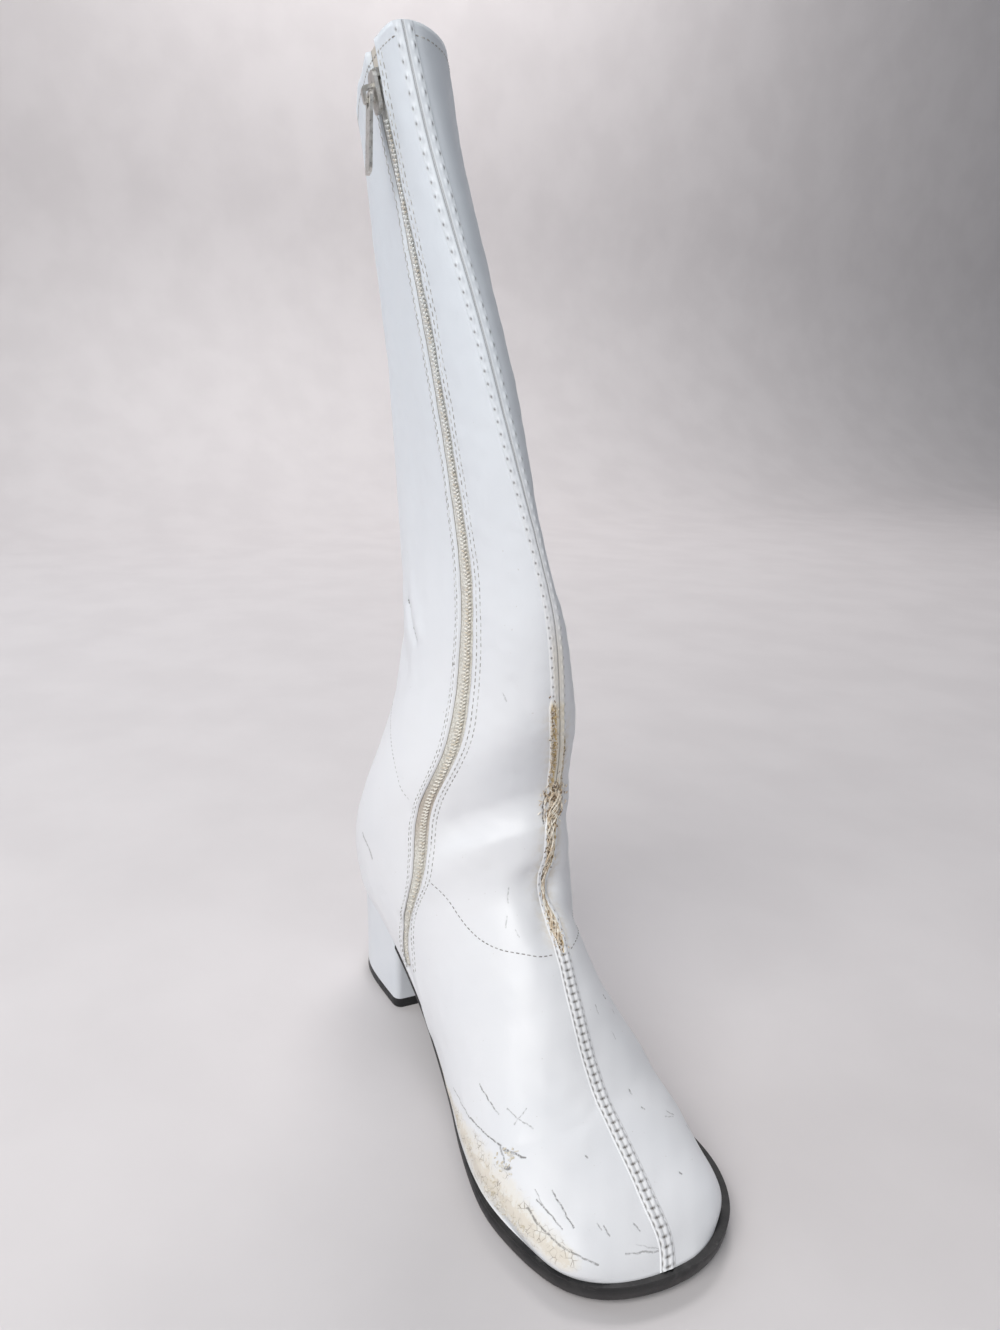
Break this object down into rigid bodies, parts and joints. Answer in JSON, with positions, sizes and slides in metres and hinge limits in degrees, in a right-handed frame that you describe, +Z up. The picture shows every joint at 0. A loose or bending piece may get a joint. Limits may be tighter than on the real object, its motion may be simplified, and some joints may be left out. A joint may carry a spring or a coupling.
{
  "type": "go go boot",
  "caption": "Left knee-high boot with a slack hollow shaft, raised front seam, inner side zip, flat rubber sole and covered block heel",
  "frame": {"origin": "centre of the heel's tread, on the floor", "axes": "+X to the wearer's outer side, -Y to the toe, +Z up along the shaft"},
  "size_m": [0.1248, 0.2825, 0.4258],
  "materials": {
    "white_upper": "smooth coated, semi-gloss",
    "black_rubber": "matt moulded",
    "white_heel_cover": "smooth coated over a plastic block",
    "black_top_piece": "matt moulded",
    "insole_lining": "brushed lining",
    "zip_tape": "woven tape with a coil",
    "zip_slider_metal": "dull plated",
    "zip_pull_metal": "dull plated"
  },
  "bodies": {
    "boot": {"upper": "white_upper", "outsole": "black_rubber", "heel_block": "white_heel_cover", "heel_top_piece": "black_top_piece", "insole": "insole_lining", "zip_strip": "zip_tape", "zip_slider": "zip_slider_metal"},
    "pull": {"zip_pull": "zip_pull_metal"}
  },
  "joints": [
    {"name": "pull_hinge", "type": "hinge", "parent": "boot", "child": "pull", "pos_m": [-0.06568, -0.05595, 0.4112], "axis": [0.2157, 0.9731, -0.0814], "range_deg": [-15, 164]}
  ]
}
